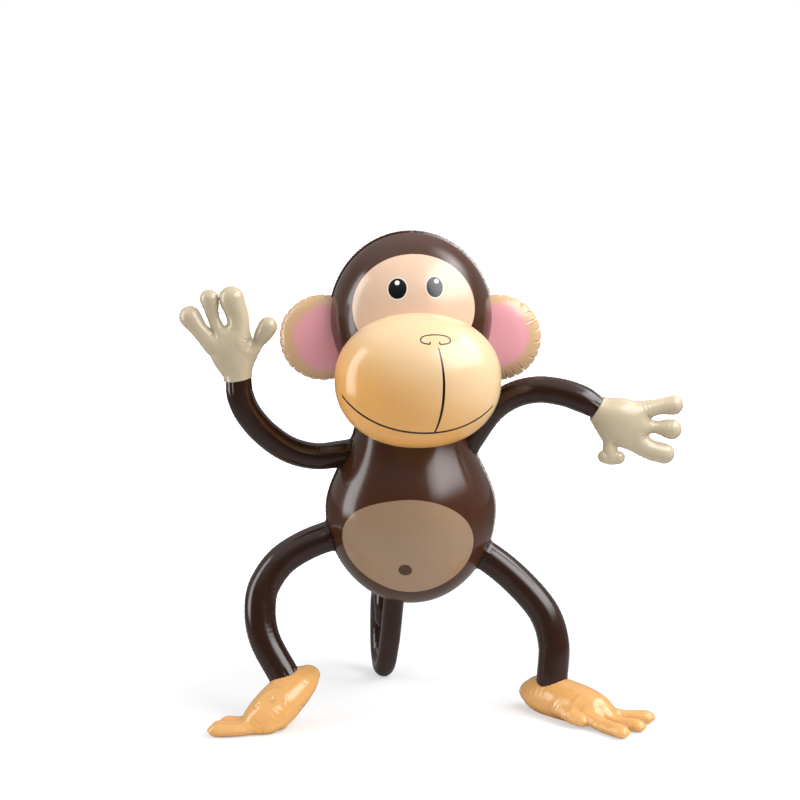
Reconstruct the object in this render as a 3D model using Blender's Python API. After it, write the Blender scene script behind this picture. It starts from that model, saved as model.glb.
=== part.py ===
# An inflatable vinyl monkey, standing on both feet and its curled tail.
# Metres, +Z up. The figure faces -Y, and its own left side is at +X.
# Each bladder that was welded up as a piece of its own is one closed solid here.
import math

import bpy
from mathutils import Vector

# Driving sizes, in metres
figure_height = 0.676
arm_diameter = 0.037
leg_diameter = 0.043
tail_diameter = 0.031
tail_tip_diameter = 0.027
valve_flange_diameter = 0.024
valve_flange_rise = 0.0022
valve_plug_diameter = 0.0095
valve_plug_rise = 0.0075
valve_bevel = 0.0007
cuff_overlap = 0.0012  # how far a hand's cuff stands outside its arm
weld_gap = 0.0003  # clearance between two pieces that are welded together

# Pose and proportions are in millimetres on a figure this tall, and follow figure_height
drawn_height = 676.0
mm = figure_height / drawn_height

# The body and head bladder: heights of its bottom, waist line, neck, brow line and crown
body_bottom_z = 149.0
body_widest_z = 284.0
neck_z = 418.0
head_widest_z = 556.0
crown_z = drawn_height
body_half_width = 119.0
neck_half_width = 76.5
head_half_width = 113.0
body_roundness = 0.88  # depth as a share of width
head_roundness = 0.86

# The muzzle is a deep dome in front of its weld line and a shallow one behind it
muzzle_centre = (9.0, -100.0, 484.0)
muzzle_half_width = 113.0
muzzle_half_height = 92.0
muzzle_front_depth = 86.0
muzzle_back_depth = 52.0
muzzle_fullness = 1.08

ear_radius = 60.0
ear_half_thickness = 20.0
ear_centres = {"left": (121.0, 4.0, 527.0), "right": (-123.0, 4.0, 527.0)}

# Centre lines of the limbs, from inside the body to inside the hand or foot
arm_routes = {
    "left": [(52, 8, 330), (83, -4, 384), (111, -13, 426), (141, -21, 449),
             (174, -30, 459), (208, -39, 457), (237, -46, 448), (262, -50, 434)],
    "right": [(-52, 4, 370), (-98, -8, 364), (-134, -15, 362), (-170, -23, 373),
              (-202, -31, 397), (-225, -38, 426), (-236, -43, 453), (-239, -45, 482)],
}
leg_routes = {
    "left": [(60, 6, 240), (112, -8, 213), (155, -18, 178), (188, -30, 139),
             (201, -40, 97), (199, -45, 52), (197, -47, 24)],
    "right": [(-64, 6, 246), (-118, -10, 245), (-174, -28, 221), (-204, -44, 186),
              (-211, -57, 150), (-204, -69, 112), (-181, -82, 71), (-168, -89, 51)],
}
tail_route = [(-14, 40, 215), (-20, 74, 168), (-25, 90, 120), (-30, 100, 66),
              (-36, 118, 25), (-41, 143, 13), (-45, 170, 31), (-46, 183, 72),
              (-45, 176, 112), (-42, 154, 130), (-40, 137, 112), (-39, 134, 88)]

# Hands and feet are lobes: each has points along its middle and half its width at each point
palm_thickness_share = 0.62
finger_thickness_share = 0.84
hand_lobes = {
    "left": {
        "palm": ([(256, -50, 437), (272, -51, 427), (288, -52, 418), (299, -52, 414),
                  (306, -52, 412)], [0, 26, 33, 32.5, 28]),
        "first_finger": ([(308, -52, 430), (338, -50, 438), (362, -47, 440.5)], [16, 11, 13.4]),
        "middle_finger": ([(312, -52, 412), (337, -51, 410), (360, -50, 406.5)], [12, 9, 13.7]),
        "last_finger": ([(304, -52, 396), (328, -53, 379), (350, -54, 373)], [16, 14.5, 14.2]),
        "thumb": ([(274, -52, 408), (273, -55, 389), (275.5, -57, 378), (277, -59, 371)],
                  [16, 8.5, 13, 15.5]),
    },
    "right": {
        "palm": ([(-239, -45, 476), (-240, -46, 489), (-244, -47, 504), (-248, -47, 516),
                  (-247.5, -47.4, 524.4)], [0, 20, 26, 28.5, 27]),
        "first_finger": ([(-271, -46.7, 525), (-290, -45, 544), (-304, -42, 563)], [15, 11.8, 14.8]),
        "middle_finger": ([(-257, -47.2, 528), (-270, -46, 561), (-277, -44, 588)], [13, 9, 13.2]),
        "last_finger": ([(-239, -46.6, 530), (-237, -47.6, 562), (-246, -48, 589)], [16, 13.8, 17.8]),
        "thumb": ([(-230, -46, 508), (-210, -49, 529), (-197, -53, 552)], [16, 9.8, 13.2]),
    },
}
foot_thickness_share = 0.80
toe_thickness_share = 0.78
foot_lobes = {
    "left": {
        "sole": ([(167, -18, 22), (189, -36, 21.5), (219, -62, 21), (246, -88, 18.5),
                  (265, -104, 15.5)], [16, 28, 34, 32, 19]),
        "first_toe": ([(257, -94, 16), (292, -98, 10.5), (327, -101, 9.2)], [16, 11, 12]),
        "middle_toe": ([(250, -102, 15), (284, -120, 9.5), (312, -139, 8.8)], [13, 10, 11.5]),
        "last_toe": ([(242, -110, 15), (264, -139, 9.5), (287, -167, 9.2)], [14, 11.5, 12]),
        "big_toe": ([(216, -84, 17), (224, -112, 14), (232, -132, 12.5)], [18, 14, 15]),
    },
    "right": {
        "sole": ([(-144, -71, 62), (-161, -88, 51), (-183, -112, 33), (-202, -131, 18.5),
                  (-216, -140, 13.5)], [16.5, 29, 33, 29, 18]),
        "first_toe": ([(-205, -125, 14), (-231, -125, 9.5), (-253, -124, 8.8)], [14, 10.5, 11.5]),
        "middle_toe": ([(-207, -135, 12.5), (-237, -141, 8.2), (-263, -143, 8.6)], [14, 10.5, 11.5]),
        "last_toe": ([(-201, -143, 12.5), (-235, -156, 8.4), (-266, -160, 9)], [14, 11, 12]),
        "big_toe": ([(-183, -127, 19), (-190, -147, 13.5), (-203, -161, 10)], [16, 12, 13]),
    },
}

valve_z = 330.0  # the valve is on the back, between the shoulders

# Colours as the film is printed: red, green, blue, roughness
brown = (0.068, 0.028, 0.018, 0.16)
dark_brown = (0.036, 0.016, 0.012, 0.16)
peach = (0.86, 0.52, 0.25, 0.2)
ear_peach = (0.78, 0.48, 0.28, 0.2)
cream = (0.66, 0.53, 0.36, 0.22)
light_orange = (0.84, 0.50, 0.20, 0.2)
valve_clear = (0.75, 0.75, 0.72, 0.3)

# How finely each round form is divided
body_sides = 30
dome_rings = 7
muzzle_sides = 28
muzzle_rings = 6
ear_sides = 22
ear_rings = 4
limb_sides = 14
lobe_sides = 12
valve_sides = 20
tip_rings = 2
route_steps = 2  # rings on each stretch of a route between two of its points
limb_end_roundness = 0.1  # a limb ends nearly flat, inside the hand or foot that it is welded to
sharp_degrees = 50  # edges that turn more than this are drawn sharp


def clear_scene():
    for old in list(bpy.data.objects):
        bpy.data.objects.remove(old, do_unlink=True)


def finish(obj, colour):
    # One glossy material, and smooth shading with sharp edges only where film meets film.
    material = bpy.data.materials.new(obj.name + "_vinyl")
    material.use_nodes = True
    shader = material.node_tree.nodes["Principled BSDF"]
    shader.inputs["Base Color"].default_value = (*colour[:3], 1.0)
    shader.inputs["Roughness"].default_value = colour[3]
    shader.inputs["Metallic"].default_value = 0.0
    obj.data.materials.append(material)
    obj.data.shade_smooth()
    obj.data.set_sharp_from_angle(angle=math.radians(sharp_degrees))


def make_object(name, vertices, faces):
    mesh = bpy.data.meshes.new(name)
    mesh.from_pydata(vertices, [], faces)
    mesh.update()
    obj = bpy.data.objects.new(name, mesh)
    bpy.context.collection.objects.link(obj)
    return obj


def skin(name, rings, start_point, end_point):
    # Joins rings of equal count with quads, and closes each end with a fan to its point.
    vertices = [start_point]
    for ring in rings:
        vertices.extend(ring)
    vertices.append(end_point)
    count = len(rings[0])
    last = len(vertices) - 1
    faces = []
    for side in range(count):
        following = (side + 1) % count
        faces.append((0, 1 + following, 1 + side))
        for row in range(len(rings) - 1):
            here = 1 + row * count
            above = here + count
            faces.append((here + side, here + following, above + following, above + side))
        top = 1 + (len(rings) - 1) * count
        faces.append((last, top + side, top + following))
    return make_object(name, vertices, faces)


def rounded(value, fullness):
    # A sine or cosine made fuller, so that the oval leans a little towards a rectangle.
    return math.copysign(abs(value) ** (1 / fullness), value)


def oval(centre, half_across, half_deep, count, fullness=1.0):
    # Points of an oval, turning from the across axis towards the deep axis.
    turns = [2 * math.pi * k / count for k in range(count)]
    return [centre + half_across * rounded(math.cos(turn), fullness)
            + half_deep * rounded(math.sin(turn), fullness) for turn in turns]


def curve_through(values, samples):
    # A smooth curve through the given values, with the same number of samples on each span.
    first = values[0] * 2 - values[1]
    final = values[-1] * 2 - values[-2]
    held = [first, *values, final]
    found = []
    for span in range(1, len(held) - 2):
        before, start, end, after = held[span - 1:span + 3]
        for step in range(samples):
            t = step / samples
            found.append(0.5 * ((start * 2) + (end - before) * t
                                + (before * 2 - start * 5 + end * 4 - after) * t * t
                                + (start * 3 - before - end * 3 + after) * t ** 3))
    found.append(values[-1])
    return found


def tube(name, route, half_widths, thickness_share, facing, sides, end_roundness=1.0):
    # A bladder along a smooth route with round ends. Its thickness lies along facing.
    centres = curve_through([Vector(point) for point in route], route_steps)
    widths = curve_through([float(width) for width in half_widths], route_steps)
    rings = []

    def add_ring(centre, along, width):
        deep = (facing - along * facing.dot(along)).normalized()
        across = deep.cross(along).normalized()
        rings.append(oval(centre, across * width, deep * width * thickness_share, sides))

    heading = (centres[1] - centres[0]).normalized()
    leaving = (centres[-1] - centres[-2]).normalized()
    start_point = centres[0] - heading * widths[0]
    end_reach = widths[-1] * end_roundness
    end_point = centres[-1] + leaving * end_reach
    for row in range(tip_rings, 0, -1):
        lean = math.pi / 2 * row / (tip_rings + 1)
        add_ring(centres[0] - heading * widths[0] * math.sin(lean), heading,
                 widths[0] * math.cos(lean))
    for row, centre in enumerate(centres):
        ahead = centres[min(row + 1, len(centres) - 1)]
        behind = centres[max(row - 1, 0)]
        add_ring(centre, (ahead - behind).normalized(), widths[row])
    for row in range(1, tip_rings + 1):
        lean = math.pi / 2 * row / (tip_rings + 1)
        add_ring(centres[-1] + leaving * end_reach * math.sin(lean), leaving,
                 widths[-1] * math.cos(lean))
    return skin(name, rings, start_point, end_point)


def at_drawn_size(points):
    return [Vector(point) * mm for point in points]


def hide_helper(obj):
    obj.hide_render = True
    obj.display_type = "WIRE"


def combine(obj, other, operation):
    step = obj.modifiers.new(operation.lower() + "_" + other.name, "BOOLEAN")
    step.operation = operation
    step.solver = "EXACT"
    step.object = other


def clearance_of(obj):
    # A helper that is the same shape, grown by the weld gap.
    helper = obj.copy()
    helper.name = obj.name + "_clearance"
    bpy.context.collection.objects.link(helper)
    swell = helper.modifiers.new("grow", "DISPLACE")
    swell.strength = weld_gap
    swell.mid_level = 0.0
    hide_helper(helper)
    return helper


def body_section(height):
    # Half width and half depth of the body and head bladder at a height, all in drawn millimetres.
    if height <= body_widest_z:
        drop = (body_widest_z - height) / (body_widest_z - body_bottom_z)
        width = body_half_width * math.sqrt(max(0.0, 1 - drop * drop))
    elif height >= head_widest_z:
        rise = (height - head_widest_z) / (crown_z - head_widest_z)
        width = head_half_width * math.sqrt(max(0.0, 1 - rise * rise))
    elif height < neck_z:
        share = (height - body_widest_z) / (neck_z - body_widest_z)
        blend = 0.5 - 0.5 * math.cos(math.pi * share)
        width = body_half_width + (neck_half_width - body_half_width) * blend
    else:
        share = (height - neck_z) / (head_widest_z - neck_z)
        blend = 0.5 - 0.5 * math.cos(math.pi * share)
        width = neck_half_width + (head_half_width - neck_half_width) * blend
    share = min(1.0, max(0.0, (height - body_widest_z) / (head_widest_z - body_widest_z)))
    roundness = body_roundness + (head_roundness - body_roundness) * share
    return width, width * roundness


def body_heights():
    # Even steps round both domes, and even steps along the waist and neck between them.
    heights = []
    for row in range(1, dome_rings + 1):
        lean = math.pi / 2 * (1 - row / (dome_rings + 1))
        heights.append(body_widest_z - (body_widest_z - body_bottom_z) * math.sin(lean))
    for row in range(dome_rings + 1):
        heights.append(body_widest_z + (head_widest_z - body_widest_z) * row / dome_rings)
    for row in range(1, dome_rings + 1):
        lean = math.pi / 2 * row / (dome_rings + 1)
        heights.append(head_widest_z + (crown_z - head_widest_z) * math.sin(lean))
    return heights


def build_body():
    rings = []
    for height in body_heights():
        width, depth = body_section(height)
        rings.append(oval(Vector((0, 0, height)) * mm, Vector((width, 0, 0)) * mm,
                          Vector((0, depth, 0)) * mm, body_sides))
    bottom = Vector((0, 0, body_bottom_z)) * mm
    crown = Vector((0, 0, crown_z)) * mm
    body = skin("body", rings, bottom, crown)
    finish(body, brown)
    return body


def dome_stack(name, centre, half_across, half_deep, front, back, rows, sides, fullness=1.0):
    # A pillow with an oval weld line, domed by one vector in front of it and by one behind.
    rings = []
    for row in range(-rows, rows + 1):
        lean = math.pi / 2 * row / (rows + 1)
        bulge = (back if row > 0 else front) * abs(math.sin(lean))
        size = math.cos(lean)
        rings.append(oval(centre + bulge, half_across * size, half_deep * size, sides, fullness))
    return skin(name, rings, centre + front, centre + back)


def build_muzzle(body_clearance):
    muzzle = dome_stack("muzzle", Vector(muzzle_centre) * mm,
                        Vector((0, 0, muzzle_half_height)) * mm,
                        Vector((muzzle_half_width, 0, 0)) * mm,
                        Vector((0, -muzzle_front_depth, 0)) * mm,
                        Vector((0, muzzle_back_depth, 0)) * mm, muzzle_rings, muzzle_sides,
                        muzzle_fullness)
    combine(muzzle, body_clearance, "DIFFERENCE")
    finish(muzzle, peach)


def build_ear(side, body_clearance):
    ear = dome_stack("ear_" + side, Vector(ear_centres[side]) * mm,
                     Vector((0, 0, ear_radius)) * mm, Vector((ear_radius, 0, 0)) * mm,
                     Vector((0, -ear_half_thickness, 0)) * mm,
                     Vector((0, ear_half_thickness, 0)) * mm, ear_rings, ear_sides)
    combine(ear, body_clearance, "DIFFERENCE")
    finish(ear, ear_peach)


def build_lobed_piece(name, lobes, thickness_shares, facing):
    # The first lobe is the palm or sole, and each finger or toe is joined to it.
    main = None
    for lobe, (points, half_widths) in lobes.items():
        widths = [width * mm for width in half_widths]
        share = thickness_shares[0 if main is None else 1]
        label = name if main is None else name + "_" + lobe
        shape = tube(label, at_drawn_size(points), widths, share, facing, lobe_sides)
        if main is None:
            main = shape
        else:
            hide_helper(shape)
            combine(main, shape, "UNION")
    return main


def build_hand(side):
    lobes = dict(hand_lobes[side])
    points, half_widths = lobes["palm"]
    cuff_half_width = (arm_diameter / 2 + cuff_overlap) / mm
    lobes["palm"] = (points, [cuff_half_width, *half_widths[1:]])
    hand = build_lobed_piece("hand_" + side, lobes,
                             (palm_thickness_share, finger_thickness_share), Vector((0, 1, 0)))
    finish(hand, cream)
    return hand


def build_foot(side, floor_cutter):
    foot = build_lobed_piece("foot_" + side, foot_lobes[side],
                             (foot_thickness_share, toe_thickness_share), Vector((0, 0, 1)))
    combine(foot, floor_cutter, "DIFFERENCE")
    finish(foot, light_orange)
    return foot


def build_limb(name, route, diameter, cutters):
    half_widths = [diameter / 2] * len(route)
    limb = tube(name, at_drawn_size(route), half_widths, 1.0, Vector((0, 1, 0)), limb_sides,
                limb_end_roundness)
    for cutter in cutters:
        combine(limb, cutter, "DIFFERENCE")
    finish(limb, dark_brown)


def build_tail(body_clearance, floor_cutter):
    count = len(tail_route)
    half_widths = [(tail_diameter + (tail_tip_diameter - tail_diameter) * row / (count - 1)) / 2
                   for row in range(count)]
    tail = tube("tail", at_drawn_size(tail_route), half_widths, 1.0, Vector((1, 0, 0)),
                limb_sides)
    combine(tail, body_clearance, "DIFFERENCE")
    combine(tail, floor_cutter, "DIFFERENCE")
    finish(tail, dark_brown)


def build_floor_cutter():
    # Everything under the floor plane is cut away, which leaves flat patches to stand on.
    reach = figure_height
    corners = [(x, y, z) for z in (-reach, 0.0) for y in (-reach, reach) for x in (-reach, reach)]
    faces = [(0, 2, 3, 1), (4, 5, 7, 6), (0, 1, 5, 4), (2, 6, 7, 3), (0, 4, 6, 2), (1, 3, 7, 5)]
    cutter = make_object("floor_cutter", corners, faces)
    hide_helper(cutter)
    return cutter


def build_valve(body_clearance):
    # A low flange on the back of the body, with a plug in its middle, square to the surface.
    step = 1.0
    depth = body_section(valve_z)[1]
    slope = (body_section(valve_z + step)[1] - body_section(valve_z - step)[1]) / (2 * step)
    outward = Vector((0, 1, -slope)).normalized()
    seat = Vector((0, depth, valve_z)) * mm
    across = Vector((1, 0, 0))
    upright = outward.cross(across)
    flange_radius = valve_flange_diameter / 2
    plug_radius = valve_plug_diameter / 2
    profile = [(flange_radius, -flange_radius), (flange_radius, valve_flange_rise - valve_bevel),
               (flange_radius - valve_bevel, valve_flange_rise), (plug_radius, valve_flange_rise),
               (plug_radius, valve_plug_rise - valve_bevel),
               (plug_radius - valve_bevel, valve_plug_rise)]
    rings = [oval(seat + outward * rise, across * radius, upright * radius, valve_sides)
             for radius, rise in profile]
    valve = skin("air_valve", rings, seat + outward * profile[0][1], seat + outward * profile[-1][1])
    combine(valve, body_clearance, "DIFFERENCE")
    finish(valve, valve_clear)


def centre_on_base():
    # Moves everything, helpers too, so that the origin is the middle of the base of the figure's box.
    graph = bpy.context.evaluated_depsgraph_get()
    points = []
    for obj in bpy.data.objects:
        if obj.hide_render:
            continue
        shape = obj.evaluated_get(graph)
        points.extend(vertex.co.copy() for vertex in shape.to_mesh().vertices)
        shape.to_mesh_clear()
    middle = Vector([(min(values) + max(values)) / 2 for values in zip(*points)])
    base = min(point.z for point in points)
    for obj in bpy.data.objects:
        obj.location -= Vector((middle.x, middle.y, base))


def build_figure():
    clear_scene()
    body = build_body()
    body_clearance = clearance_of(body)
    floor_cutter = build_floor_cutter()
    build_muzzle(body_clearance)
    build_valve(body_clearance)
    build_tail(body_clearance, floor_cutter)
    for side in ("left", "right"):
        build_ear(side, body_clearance)
        hand_clearance = clearance_of(build_hand(side))
        build_limb("arm_" + side, arm_routes[side], arm_diameter,
                   (body_clearance, hand_clearance))
        foot_clearance = clearance_of(build_foot(side, floor_cutter))
        build_limb("leg_" + side, leg_routes[side], leg_diameter,
                   (body_clearance, foot_clearance))
    centre_on_base()


build_figure()
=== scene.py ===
import math

import bpy
import numpy as np
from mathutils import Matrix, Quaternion, Vector


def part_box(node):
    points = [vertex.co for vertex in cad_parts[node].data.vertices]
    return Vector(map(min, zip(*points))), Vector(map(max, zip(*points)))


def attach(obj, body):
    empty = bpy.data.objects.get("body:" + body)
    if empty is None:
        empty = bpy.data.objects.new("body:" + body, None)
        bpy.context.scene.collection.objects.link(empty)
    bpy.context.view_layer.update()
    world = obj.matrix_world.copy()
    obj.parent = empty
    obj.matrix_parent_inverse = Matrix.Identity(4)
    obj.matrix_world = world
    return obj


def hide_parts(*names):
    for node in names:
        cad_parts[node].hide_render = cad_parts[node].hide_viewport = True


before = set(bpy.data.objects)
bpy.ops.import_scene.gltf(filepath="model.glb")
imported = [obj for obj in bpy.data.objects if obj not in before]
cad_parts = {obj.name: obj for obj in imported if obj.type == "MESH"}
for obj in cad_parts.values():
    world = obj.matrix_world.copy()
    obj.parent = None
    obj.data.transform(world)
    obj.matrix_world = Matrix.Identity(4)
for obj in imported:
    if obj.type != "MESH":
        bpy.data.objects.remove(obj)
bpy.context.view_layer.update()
bodyLow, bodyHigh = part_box("body")
# the figure is drawn in millimetres about its own upright axis, like the solids, and placed here
axisPlace = np.array([(bodyLow.x + bodyHigh.x) / 2, (bodyLow.y + bodyHigh.y) / 2, 0.0])
print("frame loaded, axis at", axisPlace)


# camera and studio
cameraPlan = {"place": (-0.0154, -3.54, 1.0823), "lookDown": 10.3, "lens": 115.7}
studioPlan = {
    "aim": (0.0, 0.0, 0.38),
    "softboxes": {
        # azimuth from the front toward the viewer's right; spin leans the lamp about its own middle
        "key": {"azimuth": 64, "height": 42, "facing": 42, "away": 2.2, "size": (3.6, 2.1), "spin": 0,
                "glow": 5.3, "edge": (0.34, 0.30)},
        "strip": {"azimuth": -85, "height": 20, "facing": 0, "away": 1.33, "size": (0.58, 1.66), "spin": 0,
                  "glow": 4.2, "edge": (0.20, 0.16)},
        "rim": {"azimuth": 110, "height": 50, "facing": 50, "away": 2.2, "size": (1.3, 1.9), "spin": -10,
                "glow": 4.6, "edge": (0.60, 0.50)},
    },
    "room": {"front": 0.06, "back": 0.32, "above": 0.66, "fill": 0.52, "fillAbove": 0.26, "seen": 1.0,
             "backEdge": (0.1, 0.75), "aboveEdge": (0.68, 0.28)},
    "floor": {"bounce": 1.0, "gloss": 0.26, "farColour": 0.10, "seenColour": 0.50, "nearLift": 0.46,
              "farLift": 0.99, "near": 0.30, "far": 1.1, "reach": 7.0, "low": -0.0003},
}


def setCamera():
    camera = linked("camera", bpy.data.cameras.new("camera"))
    camera.location = axisPlace + np.array(cameraPlan["place"])
    camera.rotation_euler = (math.radians(90 - cameraPlan["lookDown"]), 0, 0)
    camera.data.sensor_width = 36
    camera.data.lens = cameraPlan["lens"]
    camera.data.clip_end = 60
    camera.data.dof.use_dof = False
    bpy.context.scene.camera = camera


class Signal:
    # one output of a node, so that masks and patterns can be written as sums
    def __init__(self, bench, socket):
        self.bench = bench
        self.socket = socket

    def work(self, operation, *terms):
        node = self.bench.node("ShaderNodeMath", {"operation": operation}, dict(enumerate(terms)))
        return Signal(self.bench, node.outputs[0])

    def __add__(self, other):
        return self.work("ADD", self, other)

    def __radd__(self, other):
        return self.work("ADD", other, self)

    def __sub__(self, other):
        return self.work("SUBTRACT", self, other)

    def __rsub__(self, other):
        return self.work("SUBTRACT", other, self)

    def __mul__(self, other):
        return self.work("MULTIPLY", self, other)

    def __rmul__(self, other):
        return self.work("MULTIPLY", other, self)

    def __truediv__(self, other):
        return self.work("DIVIDE", self, other)

    def __rtruediv__(self, other):
        return self.work("DIVIDE", other, self)

    def __pow__(self, other):
        return self.work("POWER", self, other)

    def __abs__(self):
        return self.work("ABSOLUTE", self)

    def root(self):
        return self.work("SQRT", self)

    def most(self, other):
        return self.work("MAXIMUM", self, other)

    def below(self, edge, soft):
        # 1 where the value is under the edge, 0 over it, with a soft step between
        node = self.bench.node("ShaderNodeMapRange", {"interpolation_type": "SMOOTHSTEP"},
                               {0: self, 1: edge - soft, 2: edge + soft, 3: 1.0, 4: 0.0})
        return Signal(self.bench, node.outputs[0])

    def above(self, edge, soft):
        return 1 - self.below(edge, soft)


class Bench:
    # makes nodes in one tree
    def __init__(self, tree):
        self.tree = tree
        tree.nodes.clear()

    def node(self, kind, settings=None, sockets=None):
        made = self.tree.nodes.new(kind)
        for key, value in (settings or {}).items():
            setattr(made, key, value)
        for key, value in (sockets or {}).items():
            if isinstance(value, Signal):
                self.tree.links.new(value.socket, made.inputs[key])
            else:
                made.inputs[key].default_value = value
        return made

    def signal(self, kind, settings=None, sockets=None, output=0):
        return Signal(self, self.node(kind, settings, sockets).outputs[output])

    def colour(self, share, first, second, blend="MIX"):
        ends = [end if isinstance(end, Signal) else (*end, 1.0) for end in (first, second)]
        return self.signal("ShaderNodeMix", {"data_type": "RGBA", "blend_type": blend},
                           {0: share, 6: ends[0], 7: ends[1]}, 2)

    def grey(self, tone):
        return self.signal("ShaderNodeCombineColor", None, {0: tone, 1: tone, 2: tone})

    def noise(self, place, size, detail=2.0):
        # a smooth pattern round 0.5 with lumps about this many metres across
        return self.signal("ShaderNodeTexNoise", {"noise_dimensions": "3D"},
                           {"Vector": place, "Scale": 1 / size, "Detail": detail})

    def split(self, place):
        parts = self.node("ShaderNodeSeparateXYZ", None, {0: place})
        return [Signal(self, parts.outputs[index]) for index in range(3)]


def between(first, second, share):
    return first + (second - first) * share


def linked(name, data):
    # a new object in the scene
    thing = bpy.data.objects.new(name, data)
    bpy.context.scene.collection.objects.link(thing)
    return thing


def blankMaterial(name):
    material = bpy.data.materials.new(name)
    material.use_nodes = True
    return material, Bench(material.node_tree)


def direction(azimuth, height):
    # from the figure outward, both in degrees
    turn, rise = math.radians(azimuth), math.radians(height)
    return Vector((math.sin(turn) * math.cos(rise), -math.cos(turn) * math.cos(rise), math.sin(rise)))


def hangSoftbox(name, plan):
    # an even light with soft edges, turned toward the figure
    lamp = bpy.data.lights.new(name, "AREA")
    lamp.shape = "RECTANGLE"
    lamp.size, lamp.size_y = plan["size"]
    lamp.energy = plan["glow"] * math.pi * lamp.size * lamp.size_y
    lamp.use_nodes = True
    bench = Bench(lamp.node_tree)
    u, v = bench.split(bench.signal("ShaderNodeNewGeometry", None, None, 5))[:2]
    sideSoft, endSoft = plan["edge"][0] / 2, plan["edge"][1] / 2
    level = abs(u - 0.5).below(0.5 - sideSoft, sideSoft) * abs(v - 0.5).below(0.5 - endSoft, endSoft)
    light = bench.signal("ShaderNodeEmission", None, {0: (1, 1, 1, 1), 1: level})
    bench.node("ShaderNodeOutputLight", None, {0: light})
    holder = linked(name, lamp)
    away = direction(plan["azimuth"], plan["height"]) * plan["away"]
    holder.location = Vector(axisPlace) + Vector(studioPlan["aim"]) + away
    facing = direction(plan["azimuth"], plan["facing"]).to_track_quat("Z", "Y")
    holder.rotation_euler = (facing @ Quaternion((0, 0, 1), math.radians(plan["spin"]))).to_euler()
    holder.visible_camera = False


def setRoom():
    # dark in front and paler above, as gloss sees it; a soft fill for everything else
    world = bpy.data.worlds.new("studio")
    world.use_nodes = True
    world.cycles.sampling_method = "NONE"
    bpy.context.scene.world = world
    bench = Bench(world.node_tree)
    plan = studioPlan["room"]
    deep, up = bench.split(bench.signal("ShaderNodeTexCoord"))[1:]
    glow = between(plan["front"], plan["back"], deep.above(*plan["backEdge"]))
    glow = between(glow, plan["above"], up.above(*plan["aboveEdge"]))
    fill = up.most(0) * plan["fillAbove"] + plan["fill"]
    glow = between(glow, fill, bench.signal("ShaderNodeLightPath", None, None, 2))
    glow = between(glow, plan["seen"], bench.signal("ShaderNodeLightPath"))
    light = bench.signal("ShaderNodeBackground", None, {0: (1, 1, 1, 1), 1: glow})
    bench.node("ShaderNodeOutputWorld", None, {0: light})


def layFloor():
    plan = studioPlan["floor"]
    reach, low = plan["reach"], plan["low"]
    mesh = bpy.data.meshes.new("floor")
    mesh.from_pydata([(-reach, -reach, low), (reach, -reach, low), (reach, reach, low), (-reach, reach, low)],
                     [], [(0, 1, 2, 3)])
    floor = linked("floor", mesh)
    material, bench = blankMaterial("studio_floor")
    across, deep = bench.split(bench.signal("ShaderNodeTexCoord", None, None, 3))[:2]
    middle, spread = (plan["near"] + plan["far"]) / 2, (plan["far"] - plan["near"]) / 2
    far = (across * across + deep * deep).root().above(middle, spread)
    path = bench.node("ShaderNodeLightPath")
    seen = Signal(bench, path.outputs["Is Camera Ray"])
    diffuse = Signal(bench, path.outputs["Is Diffuse Ray"])
    # paper under the figure: it lights the figure from below, and to the eye it is all but white
    tone = between(between(plan["gloss"], plan["bounce"], diffuse), plan["farColour"], far)
    tone = between(tone, plan["seenColour"], seen)
    matt = bench.signal("ShaderNodeBsdfDiffuse", None, {0: bench.grey(tone)})
    lift = between(plan["nearLift"], plan["farLift"], far) * seen
    glow = bench.signal("ShaderNodeEmission", None, {0: (1, 1, 1, 1), 1: lift})
    both = bench.signal("ShaderNodeAddShader", None, {0: matt, 1: glow})
    bench.node("ShaderNodeOutputMaterial", None, {0: both})
    mesh.materials.append(material)


def setStudio():
    bpy.context.scene.view_settings.view_transform = "Standard"
    setRoom()
    for name, plan in studioPlan["softboxes"].items():
        hangSoftbox(name, plan)
    layFloor()


setCamera()
setStudio()
print("camera and studio set")


# inflated vinyl: a printed colour, with painted light and shade in places, under a clear gloss, with the
# film's faint ripple; sizes in metres
vinylPlan = {
    "gloss": 0.20, "glossSpread": 0.05, "rubSize": 0.012, "coat": 0.38, "coatRoughness": 0.05,
    "cloudSize": 0.045, "cloud": (0.93, 0.14), "rippleSize": 0.019, "rippleHeight": 0.00045,
    "grainSize": 0.0016, "grainHeight": 0.000012,
}
inkPlan = {
    # the pale weld ink is the film's unprinted edge and a painted highlight together, laid on the key-lit
    # side only
    "brown": (0.064, 0.022, 0.010), "darkBrown": (0.028, 0.0100, 0.0055), "seamAndSheen": (0.66, 0.60, 0.58),
    "black": (0.005, 0.004, 0.004), "white": (0.90, 0.88, 0.85), "line": (0.016, 0.006, 0.003),
    "face": (0.77, 0.535, 0.38), "belly": (0.33, 0.217, 0.134), "navel": (0.075, 0.030, 0.016),
    # painted light and shade: the muzzle's two inks are its colour in shade, a deep orange, and where the key
    # light falls, a paler cream
    "muzzleShadedSide": (0.91, 0.47, 0.14), "muzzleLitSide": (0.82, 0.585, 0.34),
    "earRim": (0.68, 0.445, 0.25), "earPink": (0.87, 0.40, 0.45),
    "hand": (0.57, 0.475, 0.33), "foot": (0.71, 0.37, 0.12),
}


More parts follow.
